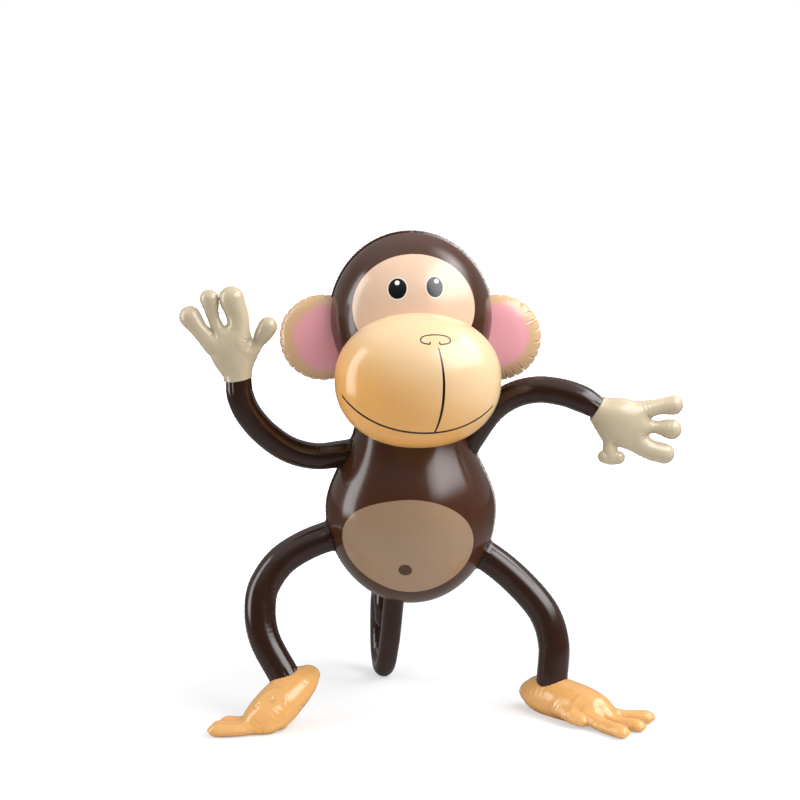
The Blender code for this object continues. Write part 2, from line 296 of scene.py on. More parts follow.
def vinyl(name, paint, ripple=1.0):
    # paint(bench, place) gives the film's colour from a place in metres: its print, with painted light and
    # shade on the muzzle and a painted highlight along the body's weld
    plan = vinylPlan
    material, bench = blankMaterial(name)
    place = bench.signal("ShaderNodeTexCoord", None, None, 3)
    least, spread = plan["cloud"]
    shade = bench.grey(bench.noise(place, plan["cloudSize"], 3.0) * spread + least)
    # the film's colour: print, and on the muzzle and along the body's weld painted light as well
    printed = bench.colour(1.0, paint(bench, place), shade, "MULTIPLY")
    rough = plan["gloss"] + (bench.noise(place, plan["rubSize"], 4.0) - 0.5) * plan["glossSpread"]
    swell = bench.noise(place, plan["rippleSize"], 1.0)
    grain = bench.noise(place, plan["grainSize"], 2.0)
    height = swell * (plan["rippleHeight"] * ripple) + grain * plan["grainHeight"]
    bump = bench.signal("ShaderNodeBump", None, {"Strength": 1.0, "Distance": 1.0, "Height": height})
    shader = bench.signal("ShaderNodeBsdfPrincipled", None, {
        "Base Color": printed, "Roughness": rough, "Normal": bump, "IOR": 1.5,
        "Coat Weight": plan["coat"], "Coat Roughness": plan["coatRoughness"]})
    bench.node("ShaderNodeOutputMaterial", None, {0: shader})
    return material


def domeFlat(bench, place, centre, radii):
    # unrolls a dome that faces the front: millimetres across and up from its foremost point
    across, deep, up = bench.split(place)
    x = (across * 1000 - (axisPlace[0] * 1000 + centre[0])) / radii[0]
    y = ((axisPlace[1] * 1000 + centre[1]) - deep * 1000) / radii[1]
    z = (up * 1000 - centre[2]) / radii[2]
    spread = (x * x + z * z + 0.000001).root()
    unroll = x.work("ARCTAN2", spread, y) / spread
    return x * unroll * radii[0], z * unroll * radii[2], y


def oval(first, second, centre, radii):
    # 1 on an oval's edge, less inside it
    x = (first - centre[0]) / radii[0]
    z = (second - centre[1]) / radii[1]
    return (x * x + z * z).root()


facePlan = {
    "dome": ((0, 0, 556), (113, 97.2, 120)), "panel": ((4.9, 30.5), (95.4, 80.4)),
    "eyes": [((-19.7, 54.3), (13.2, 15.0), (-20.3, 62.6)), ((33.5, 56.8), (12.2, 15.2), (36.4, 65.4))],
    "whiteRim": 1.3, "glint": 3.5, "over": (0.47, 0.002), "panelSoft": 0.006, "eyeSoft": 0.03,
    "rimShare": 0.75, "glintSoft": 0.12,
}
bellyPlan = {
    "dome": ((0, 0, 284), (119, 104.7, 135)), "middle": (-8.2, -42.0), "reach": 89.4,
    "leans": (2.2, 1.0, 14.2, -1.7, -0.9, 1.5, 2.0, -0.5), "navel": ((-8.6, -71.0), (9.9, 9.9)),
    "under": (0.40, 0.002), "soft": 0.5, "navelSoft": 0.05,
}
# the pale weld strip with its painted highlight: half width, softness, patch size, patch edge and how much of
# the ink it takes
seamSheenPlan = {"half": 0.0013, "soft": 0.0003, "patch": 0.0035, "sheenPatches": (0.44, 0.07), "share": (0.35, 0.55)}


def paintBody(bench, place):
    ink = inkPlan
    across, deep, up = bench.split(place)
    x, z, front = domeFlat(bench, place, *facePlan["dome"])
    plan = facePlan
    onHead = front.above(0.0, 0.02) * up.above(*plan["over"])
    panel = oval(x, z, *plan["panel"]).below(1.0, plan["panelSoft"]) * onHead
    colour = bench.colour(panel, ink["brown"], ink["face"])
    for centre, radii, glint in plan["eyes"]:
        eye = oval(x, z, centre, radii)
        rim = eye.below(1 + plan["whiteRim"] / radii[0], plan["eyeSoft"]) * onHead * plan["rimShare"]
        colour = bench.colour(rim, colour, ink["white"])
        colour = bench.colour(eye.below(1.0, plan["eyeSoft"]) * onHead, colour, ink["black"])
        spot = oval(x, z, glint, (plan["glint"], plan["glint"])).below(1.0, plan["glintSoft"])
        colour = bench.colour(spot * onHead, colour, ink["white"])
    # the film's paler unprinted edge along the weld, with a painted highlight on it: it is laid only on the
    # figure's right side, where the key light catches the weld, and broken into patches by noise
    seamAndSheen = abs(deep - axisPlace[1]).below(seamSheenPlan["half"], seamSheenPlan["soft"]) * across.above(0.0, 0.05)
    sheenPatches = bench.noise(place, seamSheenPlan["patch"], 1.0).above(*seamSheenPlan["sheenPatches"])
    least, spread = seamSheenPlan["share"]
    colour = bench.colour(seamAndSheen * (sheenPatches * spread + least), colour, ink["seamAndSheen"])
    plan = bellyPlan
    x, z, front = domeFlat(bench, place, *plan["dome"])
    onBelly = front.above(0.0, 0.02) * up.below(*plan["under"])
    dx, dz = x - plan["middle"][0], z - plan["middle"][1]
    away = (dx * dx + dz * dz + 0.0001).root()
    c, s = dx / away, dz / away
    c2, s2 = c * c - s * s, 2 * c * s
    turns = (c, s, c2, s2, c2 * c - s2 * s, s2 * c + c2 * s, c2 * c2 - s2 * s2, 2 * c2 * s2)
    edge = plan["reach"]
    for lean, turn in zip(plan["leans"], turns):
        edge = turn * lean + edge
    patch = (away - edge).below(0.0, plan["soft"]) * onBelly
    colour = bench.colour(patch, colour, ink["belly"])
    navel = oval(x, z, *plan["navel"]).below(1.0, plan["navelSoft"]) * onBelly
    return bench.colour(navel, colour, ink["navel"])


muzzlePlan = {
    "centre": (9.0, -100.0, 484.0), "half": (113.0, 92.0), "front": 86.0, "back": 52.0, "backTurn": 62,
    "fullness": 1.08, "sides": 960, "spacing": 2.2, "step": 3.2, "seed": 11, "pucker": (5.0, 0.45, 7.0),
    "notch": (0.14, 0.22), "gaps": (0.6, 1.45), "scallop": (0, 0, 6), "weldEdge": (0.4, 0.75),
    "swell": 0.06, "lump": 35, "soft": (0.3, 0.6), "gapTop": 3.4, "hookTop": 4.2,
    "mouth": (-65.29, -0.0741, 0.002503, -1.42e-8), "mouthEnds": (-129.0, 129.0), "mouthLine": 1.9,
    "lip": (34.5, 0.0293, -0.002016), "lipEnds": (-65.0, 60.5), "lipLine": (0.7, 1.9),
    "nose": ((26.0, 73.5), (22.5, 7.8), 2.5), "noseGap": (24.3, 7.2), "noseLine": 1.0, "noseBow": 0.8,
    # painted light and shade on the muzzle: where it turns from the shaded ink to the lit ink, and how far
    # that edge leans toward the viewer's right
    "paintedKeyLight": (5.0, 60.0), "paintedKeyLightLean": 0.55,
}


def paintMuzzle(bench, place):
    plan = muzzlePlan
    wide, high = plan["half"]
    x, z, front = domeFlat(bench, place, plan["centre"], (wide, plan["front"], high))
    # painted light and shade: the muzzle runs from the deep ink at the lower left, in shade, to the pale ink
    # at the upper right, where the key light falls
    paintedKeyLight = (x * plan["paintedKeyLightLean"] + z).above(*plan["paintedKeyLight"])
    colour = bench.colour(paintedKeyLight, inkPlan["muzzleShadedSide"], inkPlan["muzzleLitSide"])
    c0, c1, c2, c4 = plan["mouth"]
    curve = c0 + c1 * x + c2 * x * x + c4 * x * x * x * x
    slope = c1 + 2 * c2 * x + 4 * c4 * x * x * x
    off = abs(z - curve) / (1 + slope * slope).root()
    start, end = plan["mouthEnds"]
    soft, endSoft = plan["soft"]
    mouth = off.below(plan["mouthLine"], soft) * x.above(start, endSoft) * x.below(end, endSoft)
    c0, c1, c2 = plan["lip"]
    low, high = plan["lipEnds"]
    bulge = c0 + c1 * z + c2 * z * z
    share = ((z - low + 20) * (high - z) * (4 / (high - low + 20) ** 2)).most(0)
    wide = between(*plan["lipLine"], share)
    lip = (abs(x - bulge) - wide).below(0.0, soft) * z.above(low, endSoft) * z.below(high, endSoft)
    centre, half, corner = plan["nose"]
    bow = (x - centre[0]) / half[0]
    z = z + bow * bow * plan["noseBow"]
    dx, dz = abs(x - centre[0]) / half[0], abs(z - centre[1]) / half[1]
    steep = ((dx ** (corner - 1) / half[0]) ** 2 + (dz ** (corner - 1) / half[1]) ** 2).root()
    outer = ((dx ** corner + dz ** corner) ** (1 / corner) - 1) / steep.most(0.001)
    gapAt, gapHalf = plan["noseGap"]
    fromGap, noseLow = abs(x - gapAt), centre[1] - half[1]
    under = z.below(noseLow + plan["gapTop"], soft) * fromGap.below(gapHalf, soft)
    nose = (abs(outer) - plan["noseLine"]).below(0.0, soft) * (1 - under)
    hooks = (abs(fromGap - gapHalf) - plan["noseLine"]).below(0.0, soft)
    hooks = hooks * z.above(noseLow, soft) * z.below(noseLow + plan["hookTop"], soft)
    drawn = mouth.most(lip).most(nose).most(hooks) * front.above(-0.2, 0.02)
    return bench.colour(drawn, colour, inkPlan["line"])


earPlan = {
    "both": {"half": (60.0, 60.0), "front": 20.0, "back": 20.0, "backTurn": 88.85, "fullness": 1.0,
             "sides": 640, "spacing": 0.85, "step": 2.0, "notch": (0.04, 0.06), "gaps": (0.75, 1.2),
             "weldEdge": (0.5, 0.75), "swell": 0.3, "lump": 35, "pinkSoft": 7.0,
             "pinkWander": (0.03, 8)},
    "left": {"centre": (121.0, 4.0, 527.0), "pinkAt": (118.0, 532.0), "pinkReach": 45.0, "seed": 21,
             "pucker": (14.5, 3.4, 25.0), "scallop": (1.9, 0, 6)},
    "right": {"centre": (-123.0, 4.0, 527.0), "pinkAt": (-115.0, 528.0), "pinkReach": 47.0, "seed": 32,
              "pucker": (12.5, 2.2, 17.0), "scallop": (1.4, 0, 6)},
}


def paintEar(side):
    plan = earPlan["both"] | earPlan[side]

    def paint(bench, place):
        across, deep, up = bench.split(place)
        x = across * 1000 - (axisPlace[0] * 1000 + plan["pinkAt"][0])
        z = up * 1000 - plan["pinkAt"][1]
        size, sway = plan["pinkWander"]
        away = (x * x + z * z).root() + (bench.noise(place, size) - 0.5) * sway
        front = deep.below(axisPlace[1] + plan["centre"][1] / 1000, 0.002)
        pink = away.below(plan["pinkReach"], plan["pinkSoft"]) * front
        return bench.colour(pink, inkPlan["earRim"], inkPlan["earPink"])

    return paint


def flatPaint(ink):
    return lambda bench, place: bench.colour(0.0, inkPlan[ink], inkPlan[ink])


# mesh work shared by the bladders
def newPiece(name, points, faces, material, slot, node):
    mesh = bpy.data.meshes.new(name)
    mesh.from_pydata((np.asarray(points) / 1000 + axisPlace).tolist(), [], faces)
    mesh.materials.append(material)
    mesh.shade_smooth()
    piece = linked(name, mesh)
    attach(piece, "root")
    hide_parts(node)
    return piece


def pressOut(piece, heights):
    # moves each point of a smooth piece along its own normal, by millimetres, but not under the floor
    vertices = piece.data.vertices
    places, normals = np.zeros(len(vertices) * 3), np.zeros(len(vertices) * 3)
    vertices.foreach_get("co", places)
    vertices.foreach_get("normal", normals)
    places += normals * np.repeat(heights, 3) / 1000
    places[2::3] = np.maximum(places[2::3], 0.0)
    vertices.foreach_set("co", places)
    piece.data.update()


def unit(ways):
    return ways / np.linalg.norm(ways, axis=-1, keepdims=True)


def runAlong(points):
    # the length of a line up to each of its points
    return np.concatenate([[0], np.cumsum(np.linalg.norm(np.diff(points, axis=0), axis=1))])


def skinFaces(counts):
    # faces over rings of points; a ring may have half as many points as the one before or after it
    faces = []
    start = 0
    for here, above in zip(counts, counts[1:]):
        top = start + here
        few, many = sorted((here, above))
        for k in range(few):
            n, a, b, c = (k + 1) % few, 2 * k, 2 * k + 1, (2 * k + 2) % many
            if here == above:
                faces.append((start + k, start + n, top + n, top + k))
            elif here == many:
                faces += [(start + a, start + b, top + k), (start + b, start + c, top + n, top + k)]
            else:
                faces += [(top + b, top + a, start + k), (top + c, top + b, start + k, start + n)]
        start = top
    return faces


def closeSkin(points, counts):
    # the faces over the rings, and at each end a point in the middle with a fan of faces to it
    first, last = counts[0], counts[-1]
    low, high, start = len(points), len(points) + 1, len(points) - last
    points = np.vstack([points, points[:first].mean(0), points[-last:].mean(0)])
    faces = skinFaces(counts)
    faces += [(low, (k + 1) % first, k) for k in range(first)]
    faces += [(high, start + k, start + (k + 1) % last) for k in range(last)]
    return points, faces


def smoothCurve(values, samples):
    # the solids' own curve through the given values, with more samples on each span
    values = np.asarray(values, float)
    held = np.concatenate([[values[0] * 2 - values[1]], values, [values[-1] * 2 - values[-2]]])
    found = []
    for span in range(1, len(held) - 2):
        before, start, end, after = held[span - 1:span + 3]
        for step in range(samples):
            t = step / samples
            found.append(0.5 * (start * 2 + (end - before) * t
                                + (before * 2 - start * 5 + end * 4 - after) * t * t
                                + (start * 3 - before - end * 3 + after) * t ** 3))
    found.append(values[-1])
    return np.array(found)


def swellings(points, size, seed):
    # a slow unevenness of about -1 to 1, with lumps of this many millimetres
    dice = np.random.RandomState(seed)
    total = np.zeros(len(points))
    for wave in range(9):
        way = dice.normal(size=3)
        way *= 2 * math.pi / (size * dice.uniform(0.7, 1.7)) / np.linalg.norm(way)
        total += np.sin(points @ way + dice.uniform(0, 6.28))
    return total / 4.5


def weldOffsets(near, far, step):
    # distances from a weld line, close together beside it and wider apart further on
    offsets = [0.0]
    gap = near
    while offsets[-1] + gap < far:
        offsets.append(offsets[-1] + gap)
        gap = min(step, gap * 1.13)
    return np.array(offsets)


def weldTurns(offsets):
    # angles round a section with a weld line at each side, from the angles on one quarter of it
    half = np.concatenate([offsets, [math.pi / 2], math.pi - offsets[::-1]])
    return np.concatenate([half[:-1], half[:-1] + math.pi])


class Puckers:
    # creases across a weld line, each with its own place, depth, length and slant
    def __init__(self, seed, length, pitch, depth, reach, closed=True, width=(0.15, 0.24), gaps=(0.6, 1.45)):
        dice = np.random.RandomState(seed)
        self.length, self.closed = length, closed
        self.creases = []
        place = pitch * 0.3
        while place < length - pitch * 0.3:
            strong = dice.uniform(0.45, 1.0) * (1.35 if dice.rand() < 0.22 else 1.0)
            self.creases.append({
                "place": place, "depth": depth * strong, "width": pitch * dice.uniform(*width),
                "reach": [reach * strong * dice.uniform(0.55, 1.15) for side in (0, 1)],
                "slant": [dice.uniform(-0.28, 0.28) for side in (0, 1)]})
            place += pitch * dice.uniform(*gaps)

    def scallops(self, along):
        # 0 at the middle of the film between two creases, 1 at a crease
        marks = np.array([crease["place"] for crease in self.creases])
        marks = np.concatenate([[marks[-1] - self.length], marks, [marks[0] + self.length]])
        after = np.searchsorted(marks, along)
        share = (along - marks[after - 1]) / (marks[after] - marks[after - 1])
        return 1 - (4 * share * (1 - share)) ** 0.6

    def sink(self, along, off, strength=1.0):
        # how far the film is drawn in; off is the signed distance from the weld line
        total = np.zeros(len(along))
        away = np.abs(off)
        side = (off > 0).astype(int)
        strength = np.broadcast_to(strength, total.shape)
        for crease in self.creases:
            reach, slant = np.array(crease["reach"])[side], np.array(crease["slant"])[side]
            gone = along - crease["place"] - slant * away
            if self.closed:
                gone = (gone + self.length / 2) % self.length - self.length / 2
            spread = crease["width"] * (1 + 0.9 * away / reach)
            use = (np.abs(gone) < spread * 4) & (away < reach)
            g, w = gone[use] / spread[use], 1 - away[use] / reach[use]
            shape = np.exp(-g * g) - 0.38 * np.exp(-(np.abs(g) - 1.9) ** 2)
            total[use] += crease["depth"] * shape * w ** 1.4 * strength[use]
        return total


def ridge(off, height, place, spread):
    # plans give a ridge as its height, its place and its spread
    return height * np.exp(-((off - place) / spread) ** 2)


def weldLip(off, height, width):
    # the trimmed edge of the welded film, with a shallow dip on both sides of it
    away = np.abs(off) / width
    return ridge(away, height, 0, 1) - ridge(away, height * 0.3, 2.6, 1.1)


# body and head in one bladder, welded all round from side to side over the crown
bodyPlan = {
    "bottom": 149.0, "belly": 284.0, "neck": 418.0, "brow": 556.0, "crown": 676.0,
    "bellyHalf": 119.0, "neckHalf": 76.5, "browHalf": 113.0, "roundness": (0.88, 0.86),
    "rowStep": 1.2, "weldStep": 0.45, "faceStep": 5.6, "quarter": 150.0, "girth": 108.0, "seed": 3,
    "pucker": (4.4, 1.25, 9.5), "lip": (3.2, 0.8), "knurl": 3.6, "knurlEdge": (0.8, 0, 1.1),
    "flat": (1.4, 0, 9.0), "neckCalm": (0.6, 415.0, 75.0), "swell": 0.06, "lump": 60,
}
# the round ends of the body and head: middle, pole and half width
bodyEnds = (("belly", "bottom", "bellyHalf"), ("brow", "crown", "browHalf"))


def ease(z, low, high, first, second):
    # a soft change from the first width to the second between two heights
    return between(first, second, 0.5 - 0.5 * np.cos(math.pi * (z - low) / (high - low)))


def bodyHalf(z):
    # half width and half depth of the body and head at each height
    p = bodyPlan
    z = np.asarray(z, float)
    low, high = (p[half] * np.sqrt(np.clip(1 - ((z - p[middle]) / (p[pole] - p[middle])) ** 2, 0, 1))
                 for middle, pole, half in bodyEnds)
    waist = ease(z, p["belly"], p["neck"], p["bellyHalf"], p["neckHalf"])
    nape = ease(z, p["neck"], p["brow"], p["neckHalf"], p["browHalf"])
    wide = np.where(z <= p["belly"], low, np.where(z < p["neck"], waist, np.where(z < p["brow"], nape, high)))
    share = np.clip((z - p["belly"]) / (p["brow"] - p["belly"]), 0, 1)
    return wide, wide * between(*p["roundness"], share)


def outsideBody(points):
    # about how far each point is outside the body's film
    wide, deep = bodyHalf(np.clip(points[:, 2], bodyPlan["bottom"] + 0.5, bodyPlan["crown"] - 0.5))
    size = np.sqrt((points[:, 0] / wide) ** 2 + (points[:, 1] / deep) ** 2)
    return (size - 1) * np.minimum(wide, deep)


def bodyProfile():
    # heights from bottom to crown, evenly spaced along the film
    p = bodyPlan
    lean = np.linspace(math.pi / 2, 0, 400)
    fine = np.concatenate([p["belly"] - (p["belly"] - p["bottom"]) * np.sin(lean),
                           np.linspace(p["belly"], p["brow"], 900)[1:-1],
                           p["brow"] + (p["crown"] - p["brow"]) * np.sin(lean[::-1])])
    return fine, runAlong(np.stack([fine, bodyHalf(fine)[0]], 1))


def bodyWeldPlace(points, fine, run):
    # how far round the weld line each point's nearest place on it is: up the left side, over, and down
    p = bodyPlan
    x, z = np.abs(points[:, 0]), points[:, 2]
    up = np.interp(z, fine, run)
    lean = np.linspace(0, math.pi / 2, 300)
    for names in bodyEnds:
        middle, pole, half = (p[name] for name in names)
        turn = np.arctan2((z - middle) / (pole - middle), x / half)
        onDome = np.interp(turn, lean, np.interp(middle + (pole - middle) * np.sin(lean), fine, run))
        up = np.where((z - middle) * (pole - middle) > 0, onDome, up)
    return np.where(points[:, 0] >= 0, up, 2 * run[-1] - up)


# pucker, root and weld: the distance between creases, their depth and their reach
limbPlan = {
    "radii": {"arm": (18.5, 18.5), "leg": (21.5, 21.5), "tail": (15.5, 13.5)},
    "rowStep": 1.1, "weldStep": 0.55, "faceStep": 2.4, "lip": (0.45, 0.6), "swell": 0.07, "lump": 22,
    "root": (6.5, 1.7, 13.0), "weld": (5.5, 0.30, 6.0), "flange": (0.8, 1.8, 1.1),
    "collar": (0.5, 2.0, 1.6), "bendPitch": 11.0, "bendDepth": 0.75, "seed": 61, "seedStep": 11,
    "wrist": {"arm_left": 0.83, "arm_right": 0.94}, "wristEnd": 8.0, "wristReach": 24.0,
    "arm_left": [(52, 8, 330), (83, -4, 384), (111, -13, 426), (141, -21, 449),
                 (174, -30, 459), (208, -39, 457), (237, -46, 448), (262, -50, 434)],
    "arm_right": [(-52, 4, 370), (-98, -8, 364), (-134, -15, 362), (-170, -23, 373),
                  (-202, -31, 397), (-225, -38, 426), (-236, -43, 453), (-239, -45, 482)],
    "leg_left": [(60, 6, 240), (112, -8, 213), (155, -18, 178), (188, -30, 139),
                 (201, -40, 97), (199, -45, 52), (197, -47, 24)],
    "leg_right": [(-64, 6, 246), (-118, -10, 245), (-174, -28, 221), (-204, -44, 186),
                  (-211, -57, 150), (-204, -69, 112), (-181, -82, 71), (-168, -89, 51)],
    "tail": [(-14, 40, 215), (-20, 74, 168), (-25, 90, 120), (-30, 100, 66),
             (-36, 118, 25), (-41, 143, 13), (-45, 170, 31), (-46, 183, 72),
             (-45, 176, 112), (-42, 154, 130), (-40, 137, 112), (-39, 134, 88)],
}
limbNames = ("arm_left", "arm_right", "leg_left", "leg_right", "tail")


def ringPuckers(points, name):
    # a weld ring where a limb comes out of the body: a low flange, and creases that radiate from it
    radius = limbPlan["radii"][name.split("_")[0]][0]
    route = smoothCurve(limbPlan[name], 40)
    at = int(np.argmax(outsideBody(route) > 0))
    axis = unit(route[at + 3] - route[at - 3])
    first = unit(np.cross(axis, (0, 1, 0.2)))
    second = np.cross(axis, first)
    gap = points - route[at]
    along = gap @ axis
    flat = gap - along[:, None] * axis
    away = np.linalg.norm(flat, axis=1)
    near = (away < radius + limbPlan["root"][2] * 1.6) & (np.abs(along) < radius * 1.6)
    turn = np.arctan2(flat[near] @ second, flat[near] @ first) % (2 * math.pi)
    off = away[near] - radius
    creases = Puckers(len(name) * 7 + at, 2 * math.pi * radius, *limbPlan["root"])
    drawn = creases.sink(turn * radius, np.maximum(off, 0.01)) * np.clip(off / 1.5 + 1, 0, 1)
    heights = np.zeros(len(points))
    heights[near] = ridge(off, *limbPlan["flange"]) - drawn
    return heights


def makeBody():
    p = bodyPlan
    fine, run = bodyProfile()
    rows = int(run[-1] / p["rowStep"])
    heights = np.interp(np.linspace(0, run[-1], rows + 1), run, fine)[1:-1]
    turns = weldTurns(weldOffsets(p["weldStep"], p["quarter"], p["faceStep"]) / p["girth"])
    wide, deep = bodyHalf(heights)
    points = np.stack([np.cos(turns) * wide[:, None], np.sin(turns) * deep[:, None],
                       np.repeat(heights[:, None], len(turns), 1)], -1).reshape(-1, 3)
    points, faces = closeSkin(points, [len(turns)] * len(heights))
    points[-2], points[-1] = (0, 0, p["bottom"]), (0, 0, p["crown"])
    body = newPiece("body_bladder", points, faces, finishes["body"], "body_vinyl", "body")
    along, off = bodyWeldPlace(points, fine, run), points[:, 1]
    strength = (1 - ridge(points[:, 2], *p["neckCalm"])) * np.clip(np.abs(off) / 3, 0.4, 1)
    creases = Puckers(p["seed"], 2 * run[-1], *p["pucker"])
    rise = weldLip(off, *p["lip"]) - creases.sink(along, off, strength) - ridge(off, *p["flat"])
    rise -= np.clip(np.sin(along * 2 * math.pi / p["knurl"]), 0, 1) * ridge(off, *p["knurlEdge"])
    rise += p["swell"] * swellings(points, p["lump"], p["seed"] + 1)
    for name in limbNames:
        rise += ringPuckers(points, name)
    pressOut(body, rise)


finishes = {
    # the body's film carries its print and a painted highlight along the weld
    "body": vinyl("body_print_seam_sheen", paintBody, 0.2),
    # the muzzle's film carries its print and painted light and shade
    "muzzle": vinyl("muzzle_print_painted_light", paintMuzzle, 0.25),
    "ear_left": vinyl("ear_print_left", paintEar("left"), 0.5),
    "ear_right": vinyl("ear_print_right", paintEar("right"), 0.5),
    "limb": vinyl("limb_film", flatPaint("darkBrown"), 0.3),
    "hand": vinyl("hand_film", flatPaint("hand"), 0.7),
    "foot": vinyl("foot_film", flatPaint("foot"), 0.7),
}
print("printed films mixed")
makeBody()
print("body and head made")


def makeDome(name, node, plan):
    # an oval pillow with its weld line in an upright plane; rings get fewer points toward both poles
    table = np.linspace(0, math.pi / 2, 500)
    size = sum(plan["half"]) / 2
    rim = 2 * math.pi * size
    leans, away, counts = [], [], []
    for sign, depth, last in ((-1, plan["front"], 90), (1, plan["back"], plan["backTurn"])):
        run = runAlong(np.stack([size * np.cos(table), depth * np.sin(table)], 1))
        offsets = weldOffsets(bodyPlan["weldStep"], run[-1] - 1.0, plan["step"])
        lean = np.interp(offsets, run, table)
        keep = lean < math.radians(last)
        leans.append(sign * lean[keep])
        away.append(sign * offsets[keep])
    leans = np.concatenate([leans[0][::-1], leans[1][1:]])
    away = np.concatenate([away[0][::-1], away[1][1:]])
    for lean, off in zip(leans, away):
        count = plan["sides"]
        while count > 30 and rim * math.cos(lean) / count < plan["spacing"] * min(1.0, 0.35 + abs(off) / 30):
            count //= 2
        counts.append(min(count, counts[-1] * 2) if counts else count)
    for index in range(len(counts) - 2, -1, -1):
        counts[index] = min(counts[index], counts[index + 1] * 2)
    rings, offs, alongs = [], [], []
    for lean, off, count in zip(leans, away, counts):
        turns = 2 * math.pi * np.arange(count) / count
        depth = plan["front"] if lean < 0 else plan["back"]
        flat = np.stack([np.sin(turns), np.cos(turns)], -1)
        flat = np.sign(flat) * np.abs(flat) ** (1 / plan["fullness"]) * plan["half"] * math.cos(lean)
        rings.append(np.insert(flat, 1, depth * math.sin(lean), 1) + plan["centre"])
        offs.append(np.full(count, off))
        alongs.append(turns / (2 * math.pi) * rim)
    points, faces = closeSkin(np.vstack(rings), counts)
    points[-2] = np.array(plan["centre"]) - (0, plan["front"], 0)
    off, along = np.concatenate([*offs, [-99, 99]]), np.concatenate([*alongs, [0, 0]])
    dome = newPiece(name, points, faces, finishes[node], node.split("_")[0] + "_vinyl", node)
    creases = Puckers(plan["seed"], rim, *plan["pucker"], width=plan["notch"], gaps=plan["gaps"])
    rise = weldLip(off, *plan["weldEdge"]) - creases.sink(along, off)
    rise -= creases.scallops(along) * ridge(off, *plan["scallop"])
    pressOut(dome, rise + plan["swell"] * swellings(points, plan["lump"], plan["seed"]))


makeDome("muzzle_bladder", "muzzle", muzzlePlan)
for side in ("left", "right"):
    makeDome("ear_pillow_" + side, "ear_" + side, earPlan["both"] | earPlan[side])
print("muzzle and ears made")


